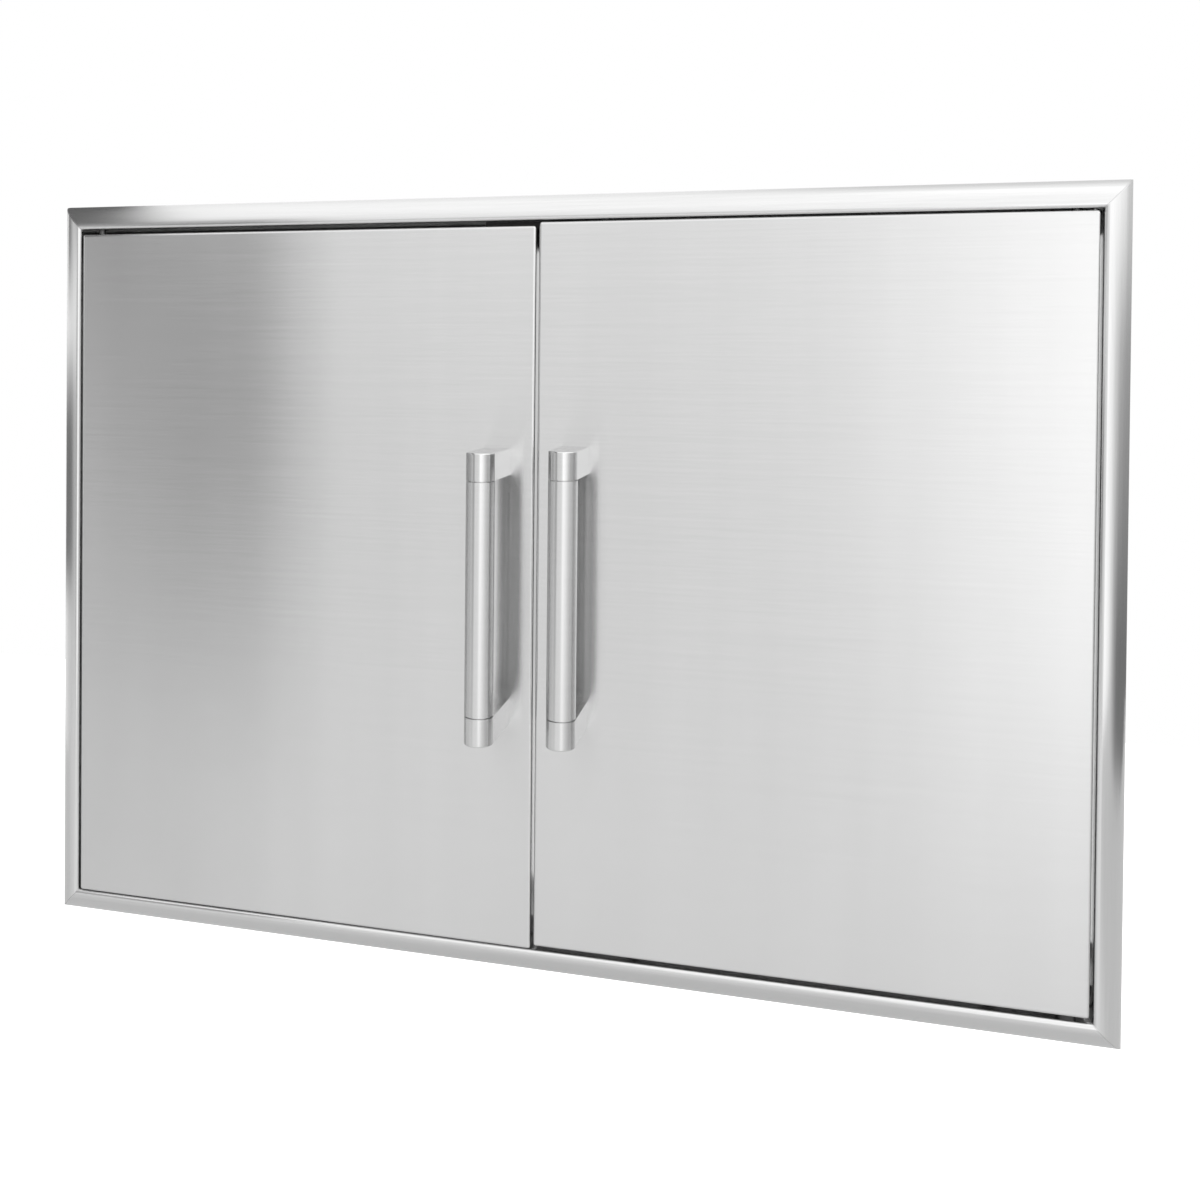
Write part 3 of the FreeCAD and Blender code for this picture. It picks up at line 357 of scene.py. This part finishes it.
catch_plastic = moulded("catch_plastic", level=0.03, roughness=0.5, texture=2500.0, bump=0.3)
nylon = moulded("nylon", level=0.025, roughness=0.42, texture=1500.0, bump=0.1)
rubber = moulded("rubber", level=0.035, roughness=0.7, texture=2000.0, bump=0.4)


# Which node has which material

BY_SLOT = {
    "door_steel": door_metal,
    "liner_steel": sheet_metal,
    "box_steel": box_metal,
    "bracket_steel": bracket_metal,
    "fastener_steel": screw_metal,
    "pin_steel": black_pin,
    "strike_steel": zinc_metal,
    "magnet_steel": magnet_face,
    "catch_plastic": catch_plastic,
    "bush_plastic": nylon,
    "bumper_rubber": rubber,
}


def material_of(node):
    if node.startswith("frame_"):
        return stile_metal if node.endswith("_stile") else rail_metal
    if node.endswith("handle_bar"):
        return bar_metal
    if node.endswith("_mount"):
        return block_metal
    return BY_SLOT[SLOT_OF[node]]


for name, piece in NODES.items():
    piece.data.materials.clear()
    piece.data.materials.append(material_of(name))


# Turned pieces: screws with hexagon sockets, and domed bumpers

TURN_STEPS = 36
DOME_STEPS = 7
SHARP_EDGE = math.radians(35)
QUARTER_CIRCLE = math.radians(90)
HEXAGON_SECTOR = math.radians(60)

SHEET_HEAD, SHEET_HEAD_HEIGHT, SHEET_SOCKET, SHEET_SHANK = 6 * MM, 1 * MM, 2 * MM, 3.5 * MM
HANDLE_HEAD, HANDLE_HEAD_HEIGHT, HANDLE_SOCKET, HANDLE_SHANK = 9 * MM, 3.2 * MM, 3 * MM, 5 * MM
PLATE_SCREW_PITCH, PLATE_SCREW_REACH = 13 * MM, 4.2 * MM
BUMPER, BUMPER_INNER = 8 * MM, 70 * MM

# Shares of a head's height, of the socket's width and of the shank's width
SOCKET_FLOOR, HEAD_EDGE = 0.3, 0.25
HEAD_FLAT = 0.65
TIP_TAPER, TIP_RADIUS = 0.15, 0.35

# Shares of a bumper's width and of its length
BUMPER_FLAT, BUMPER_EDGE = 0.12, 0.75


def hexagon_reach(across_flats, angle):
    """The distance from a hexagon's middle to its edge at an angle."""
    return across_flats / 2 / math.cos(angle % HEXAGON_SECTOR - HEXAGON_SECTOR / 2)


def ring_points(shape, size, height):
    """A ring round the local Z axis: one point, a circle of that radius or a hexagon of that width."""
    if size == 0.0:
        return [Vector((0.0, 0.0, height))]
    points = []
    for step in range(TURN_STEPS):
        angle = math.tau * step / TURN_STEPS
        reach = hexagon_reach(size, angle) if shape == "hexagon" else size
        points.append(Vector((reach * math.cos(angle), reach * math.sin(angle), height)))
    return points


def join_rings(solid, first, second):
    """Faces between two rings. A ring of one point is joined by triangles."""
    for step in range(TURN_STEPS):
        after = (step + 1) % TURN_STEPS
        corners = first[:1] if len(first) == 1 else [first[step], first[after]]
        corners = corners + (second[:1] if len(second) == 1 else [second[after], second[step]])
        solid.faces.new(corners)


def turned(node, body, profile, places):
    """Builds a profile of rings at each (place, facing), instead of the CAD node that is there."""
    solid = bmesh.new()
    for place, facing in places:
        aim = Vector(UPWARDS).rotation_difference(Vector(facing)).to_matrix()
        rings = [[solid.verts.new(Vector(place) + aim @ point) for point in ring_points(*ring)]
                 for ring in profile]
        for first, second in zip(rings, rings[1:]):
            join_rings(solid, first, second)
    bmesh.ops.recalc_face_normals(solid, faces=solid.faces)
    mesh = bpy.data.meshes.new(node)
    solid.to_mesh(mesh)
    solid.free()
    mesh.shade_smooth()
    mesh.set_sharp_from_angle(angle=SHARP_EDGE)
    mesh.materials.append(material_of(node))
    piece = new_object(node + "_turned", mesh)
    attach(piece, body)
    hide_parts(node)


def dome(radius, flat, low, high):
    """Rings of a rounded top, from its flat middle out to its edge."""
    turns = [QUARTER_CIRCLE * step / DOME_STEPS for step in range(DOME_STEPS + 1)]
    return [("round", flat + (radius - flat) * math.sin(turn), low + (high - low) * math.cos(turn))
            for turn in turns]


def button_screw(head, height, socket, shank, length):
    """Rings of a screw with a domed head and a hexagon socket, seated at height 0."""
    floor_height = height * SOCKET_FLOOR
    hollow = [("round", 0.0, floor_height), ("hexagon", socket, floor_height), ("hexagon", socket, height)]
    top = dome(head / 2, socket * HEAD_FLAT, height * HEAD_EDGE, height)
    seat = [("round", head / 2, 0.0), ("round", shank / 2, 0.0)]
    tip = [("round", shank / 2, shank * TIP_TAPER - length), ("round", shank * TIP_RADIUS, -length),
           ("round", 0.0, -length)]
    return hollow + top + seat + tip


def plate_screws():
    """Two screws at each corner, with their heads on the outsides of the hinge plates."""
    low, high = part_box("hinge_plate_screws")
    outer, y = high.x - SHEET_HEAD / 2, (low.y + high.y) / 2
    seat = high.z - SHEET_HEAD_HEIGHT
    places = [((side * x, y, end * seat), (0.0, 0.0, end))
              for side in (-1, 1) for end in (-1, 1) for x in (outer, outer - PLATE_SCREW_PITCH)]
    profile = button_screw(SHEET_HEAD, SHEET_HEAD_HEIGHT, SHEET_SOCKET, SHEET_SHANK, PLATE_SCREW_REACH)
    turned("hinge_plate_screws", "frame", profile, places)


def catch_screws():
    """Two screws up into the top rail, one at each end of the catch."""
    low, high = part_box("catch_screws")
    seat = low.z + SHEET_HEAD_HEIGHT
    places = [((side * (high.x - SHEET_HEAD / 2), (low.y + high.y) / 2, seat), (0.0, 0.0, -1.0))
              for side in (-1, 1)]
    profile = button_screw(SHEET_HEAD, SHEET_HEAD_HEIGHT, SHEET_SOCKET, SHEET_SHANK, high.z - seat)
    turned("catch_screws", "frame", profile, places)


def handle_screws(hand):
    """Two screws from inside a door into its handle's end blocks."""
    node = f"{hand}_handle_screws"
    low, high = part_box(node)
    seat = high.y - HANDLE_HEAD_HEIGHT
    places = [(((low.x + high.x) / 2, seat, z), (0.0, 1.0, 0.0))
              for z in (low.z + HANDLE_HEAD / 2, high.z - HANDLE_HEAD / 2)]
    profile = button_screw(HANDLE_HEAD, HANDLE_HEAD_HEIGHT, HANDLE_SOCKET, HANDLE_SHANK, seat - low.y)
    turned(node, f"{hand}_door", profile, places)


def bumpers():
    """Rubber discs with domed faces, which the closed doors almost touch."""
    low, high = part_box("stop_bumpers")
    length = high.y - low.y
    places = [((side * x, high.y, end * (high.z - BUMPER / 2)), (0.0, -1.0, 0.0))
              for side in (-1, 1) for end in (-1, 1) for x in (high.x - BUMPER / 2, BUMPER_INNER)]
    face = dome(BUMPER / 2, BUMPER * BUMPER_FLAT, length * BUMPER_EDGE, length)
    profile = [("round", 0.0, length)] + face + [("round", BUMPER / 2, 0.0), ("round", 0.0, 0.0)]
    turned("stop_bumpers", "frame", profile, places)


plate_screws()
catch_screws()
handle_screws("left")
handle_screws("right")
bumpers()


# The room: a white ground for the camera, and a plain studio for everything else

CAMERA_WHITE = 1.0

# A colour ramp holds levels up to 1, so all levels of the room are written as shares of this one.
RAMP_TOP = 2.0

# The studio's brightness by the angle round the object, in degrees: 0 is straight out of the doors'
# face, and positive angles are to the right. One row is for the horizon and one for high above it.
HORIZON = [(-180, 1.0), (-164, 1.0), (-120, 1.1), (-81, 0.88), (-60, 0.82), (-40, 0.81), (-26, 0.87),
           (-6, 0.91), (1, 0.99), (7, 1.29), (13, 1.64), (24, 1.5), (38, 1.2), (56, 0.9), (80, 0.7),
           (114, 0.55), (150, 0.5), (180, 1.0)]
HIGH = [(-180, 1.1), (-120, 1.25), (-20, 1.22), (12, 1.35), (40, 1.95), (82, 1.95), (110, 1.2),
        (165, 0.95), (180, 1.0)]
HIGH_RISE = (1.0, 16.0)
HALF_TURN, FULL_TURN = 180.0, 360.0

# Far above the horizon the room is more even.
TOP_LEVEL, TOP_SHARE = 1.45, 0.7
TOP_RISE = (20.0, 45.0)

# Above and behind the object the room falls off, more so on the right.
BACK_FADE = (0.1, 0.7)
BACK_RISE = (10.0, 25.0)
BACK_ACROSS = (-0.1, 0.05)
BACK_LEVELS = (1.15, 0.88)

# Cards of one level stand in the room. Each fades in and out round the object and upwards.
CARDS = [
    dict(level=1.2, left=(-130.0, -110.0), right=(-36.0, -30.0), foot=(-2.0, 0.5), head=(12.0, 16.0)),
    dict(level=0.22, left=(-140.0, -120.0), right=(-68.0, -38.0), foot=(-11.5, -9.0), head=(-3.0, 1.5)),
    dict(level=0.22, left=(38.0, 70.0), right=(150.0, 176.0), foot=(-18.0, -16.5), head=(-12.0, 5.0)),
    dict(level=0.25, left=(-112.0, -102.0), right=(-90.0, -40.0), foot=(1.5, 5.2), head=(14.0, 24.0)),
]

# A dark wall on the left, seen above the horizon, is darker higher up.
WALL_FOOT = (4.0, 8.0)
WALL_EDGE = (-0.53, -0.505)
WALL_END = (-0.86, -0.76)
WALL_HEIGHTS = (0.1, 0.35)
WALL_LEVELS = (0.4, 0.15)


def rises(angles):
    """How far up a ray points, as the Z part of its direction, at angles above the horizon."""
    return [math.sin(math.radians(angle)) for angle in angles]


def shares(levels):
    return [level / RAMP_TOP for level in levels]


def ramp(tree, value, stops):
    """A ramp of greys through (degrees, level) stops, for a value from 0 to 1 round the room."""
    node = tree.add("ShaderNodeValToRGB")
    node.color_ramp.interpolation = "EASE"
    elements = node.color_ramp.elements
    while len(elements) < len(stops):
        elements.new(0.5)
    for element, (degrees, level) in zip(elements, stops):
        element.position = degrees / FULL_TURN + 0.5
        element.color = grey(level / RAMP_TOP)
    tree.feed(node, 0, value)
    return node.outputs[0]


def card(tree, room, turn, rise, level, left, right, foot, head):
    shown = tree.product(tree.spread(turn, left, RISING), tree.spread(turn, right, FALLING),
                         tree.spread(rise, rises(foot), RISING), tree.spread(rise, rises(head), FALLING))
    return tree.mixed(shown, room, grey(level / RAMP_TOP))


def dark_wall(tree, room, across, rise):
    shown = tree.product(tree.spread(across, WALL_EDGE, FALLING), tree.spread(across, WALL_END, RISING),
                         tree.spread(rise, rises(WALL_FOOT), RISING))
    return tree.mixed(shown, room, tree.spread(rise, WALL_HEIGHTS, shares(WALL_LEVELS)))


def studio_room(tree):
    """The room's brightness in each direction, as a share of the top level."""
    parts = tree.axes(tree.coordinates("Generated"))
    across, back, rise = parts["X"], parts["Y"], parts["Z"]
    angle = tree.math("ARCTAN2", across, tree.product(back, -1.0))
    turn = tree.product(angle, math.degrees(1.0))
    share = tree.spread(turn, (-HALF_TURN, HALF_TURN), RISING)
    high = tree.spread(rise, rises(HIGH_RISE), RISING)
    room = tree.mixed(high, ramp(tree, share, HORIZON), ramp(tree, share, HIGH))
    top = tree.spread(rise, rises(TOP_RISE), (0.0, TOP_SHARE))
    room = tree.mixed(top, room, grey(TOP_LEVEL / RAMP_TOP))
    behind = tree.product(tree.spread(back, BACK_FADE, RISING), tree.spread(rise, rises(BACK_RISE), RISING))
    room = tree.mixed(behind, room, tree.spread(across, BACK_ACROSS, shares(BACK_LEVELS)))
    for facts in CARDS:
        room = card(tree, room, turn, rise, **facts)
    return dark_wall(tree, room, across, rise)


def studio_world():
    world = bpy.data.worlds.new("studio")
    bpy.context.scene.world = world
    tree = Tree(world)
    studio = tree.glow("ShaderNodeBackground", studio_room(tree), RAMP_TOP)
    white = tree.glow("ShaderNodeBackground", grey(1.0), CAMERA_WHITE)
    tree.finish(tree.either(tree.clear_ray(), studio, white), "ShaderNodeOutputWorld")


studio_world()


# A dark flag on the left, in front of the doors. Only reflections show it.

FLAG_Y = -1.0
FLAG_LEFT = (-1.25, -0.85)
FLAG_RIGHT = (-0.72, -0.57)
FLAG_FOOT = (-0.5, 0.0)
FLAG_HEAD = (0.5, 0.8)
FLAG_LEVEL = 0.4


def stage_sheet(name, corners, material):
    mesh = bpy.data.meshes.new(name)
    mesh.from_pydata(corners, [], [(0, 1, 2, 3)])
    mesh.materials.append(material)
    sheet = new_object(name, mesh)


def flag():
    material = bpy.data.materials.new("flag")
    tree = Tree(material)
    parts = tree.axes(tree.coordinates("Object"))
    shown = tree.product(tree.ray("Is Glossy Ray"),
                         tree.spread(parts["X"], FLAG_LEFT, RISING),
                         tree.spread(parts["X"], FLAG_RIGHT, FALLING),
                         tree.spread(parts["Z"], FLAG_FOOT, RISING),
                         tree.spread(parts["Z"], FLAG_HEAD, FALLING))
    clear = tree.add("ShaderNodeBsdfTransparent").outputs[0]
    dark = tree.glow("ShaderNodeEmission", grey(FLAG_LEVEL))
    tree.finish(tree.either(shown, clear, dark))
    left, right, foot, head = FLAG_LEFT[0], FLAG_RIGHT[1], FLAG_FOOT[0], FLAG_HEAD[1]
    stage_sheet("flag", [(left, FLAG_Y, foot), (right, FLAG_Y, foot),
                         (right, FLAG_Y, head), (left, FLAG_Y, head)], material)


flag()


# The floor, which is white for the camera and grey for the light. The grey holds painted shade: a painted
# shadow under and near the object, and darker patches to the right and to the left

FLOOR_BELOW = 0.45
FLOOR_REACH = 2.2
# The first grey is the floor's own. The other two are painted shade: one to the left, and one near the
# object and to the right
FLOOR_FAR, FLOOR_NEAR_SHADE, FLOOR_SIDE_SHADE = 0.84, 0.58, 0.7
# Spans over which the painted shade fades: out from the object's plane, in towards the right and in towards
# the left
FLOOR_SHADOW_FADE = (0.35, 1.0)
FLOOR_RIGHT_SHADE_SPAN = (0.65, 1.05)
FLOOR_LEFT_SHADE_SPAN = (-1.5, -0.6)
CAMERA_GLOW = 0.66
GLOSS_GLOW = 0.06


def floor():
    material = bpy.data.materials.new("floor_white")
    tree = Tree(material)
    parts = tree.axes(tree.coordinates("Object"))
    # Painted shade: far from the object the floor darkens towards the left
    left = tree.spread(parts["X"], FLOOR_LEFT_SHADE_SPAN, FALLING)
    far = tree.mixed(left, grey(FLOOR_FAR), grey(FLOOR_SIDE_SHADE))
    # Painted shadow near the object's plane, and painted shade on the right, both in the floor's colour
    near = tree.math("MAXIMUM", tree.spread(tree.math("ABSOLUTE", parts["Y"]), FLOOR_SHADOW_FADE, FALLING),
                     tree.spread(parts["X"], FLOOR_RIGHT_SHADE_SPAN, RISING))
    matt = tree.add("ShaderNodeBsdfDiffuse")
    tree.feed(matt, "Color", tree.mixed(near, far, grey(FLOOR_NEAR_SHADE)))
    strength = tree.math("MAXIMUM", tree.product(tree.clear_ray(), CAMERA_GLOW),
                         tree.product(tree.ray("Is Glossy Ray"), GLOSS_GLOW))
    lit = tree.add("ShaderNodeAddShader")
    tree.feed(lit, 0, matt.outputs[0])
    tree.feed(lit, 1, tree.glow("ShaderNodeEmission", grey(1.0), strength))
    tree.finish(lit.outputs[0])
    size, level = FLOOR_REACH, -FRAME_CORNER.z - FLOOR_BELOW
    stage_sheet("floor", [(-size, -size, level), (size, -size, level),
                          (size, size, level), (-size, size, level)], material)


floor()


# The camera, as the photo's straight edges give it

CAMERA_PLACE = Vector((0.1829, -0.8255, 0.1597))
CAMERA_YAW = math.radians(14.0016)
CAMERA_PITCH = math.radians(0.6381)
CAMERA_ROLL = math.radians(0.4888)
IMAGE_SIDE = 1200.0
FOCAL_PIXELS = 1168.19
CENTRE_PIXEL = (510.39, 374.89)
SENSOR = 36.0
CLIP_START = 10 * MM


def camera():
    data = bpy.data.cameras.new("camera")
    data.sensor_width = SENSOR
    data.lens = SENSOR * FOCAL_PIXELS / IMAGE_SIDE
    data.shift_x = 0.5 - CENTRE_PIXEL[0] / IMAGE_SIDE
    data.shift_y = CENTRE_PIXEL[1] / IMAGE_SIDE - 0.5
    data.clip_start = CLIP_START
    holder = new_object("camera", data)
    forward = Vector((-math.sin(CAMERA_YAW) * math.cos(CAMERA_PITCH),
                      math.cos(CAMERA_YAW) * math.cos(CAMERA_PITCH),
                      -math.sin(CAMERA_PITCH)))
    level = Vector((math.cos(CAMERA_YAW), math.sin(CAMERA_YAW), 0.0))
    above = level.cross(forward)
    right = math.cos(CAMERA_ROLL) * level + math.sin(CAMERA_ROLL) * above
    up = -math.sin(CAMERA_ROLL) * level + math.cos(CAMERA_ROLL) * above
    facing = Matrix((right, up, -forward)).transposed()
    holder.matrix_world = Matrix.Translation(CAMERA_PLACE) @ facing.to_4x4()
    bpy.context.scene.camera = holder


camera()

bpy.context.scene.view_settings.view_transform = "Standard"

bpy.context.view_layer.update()
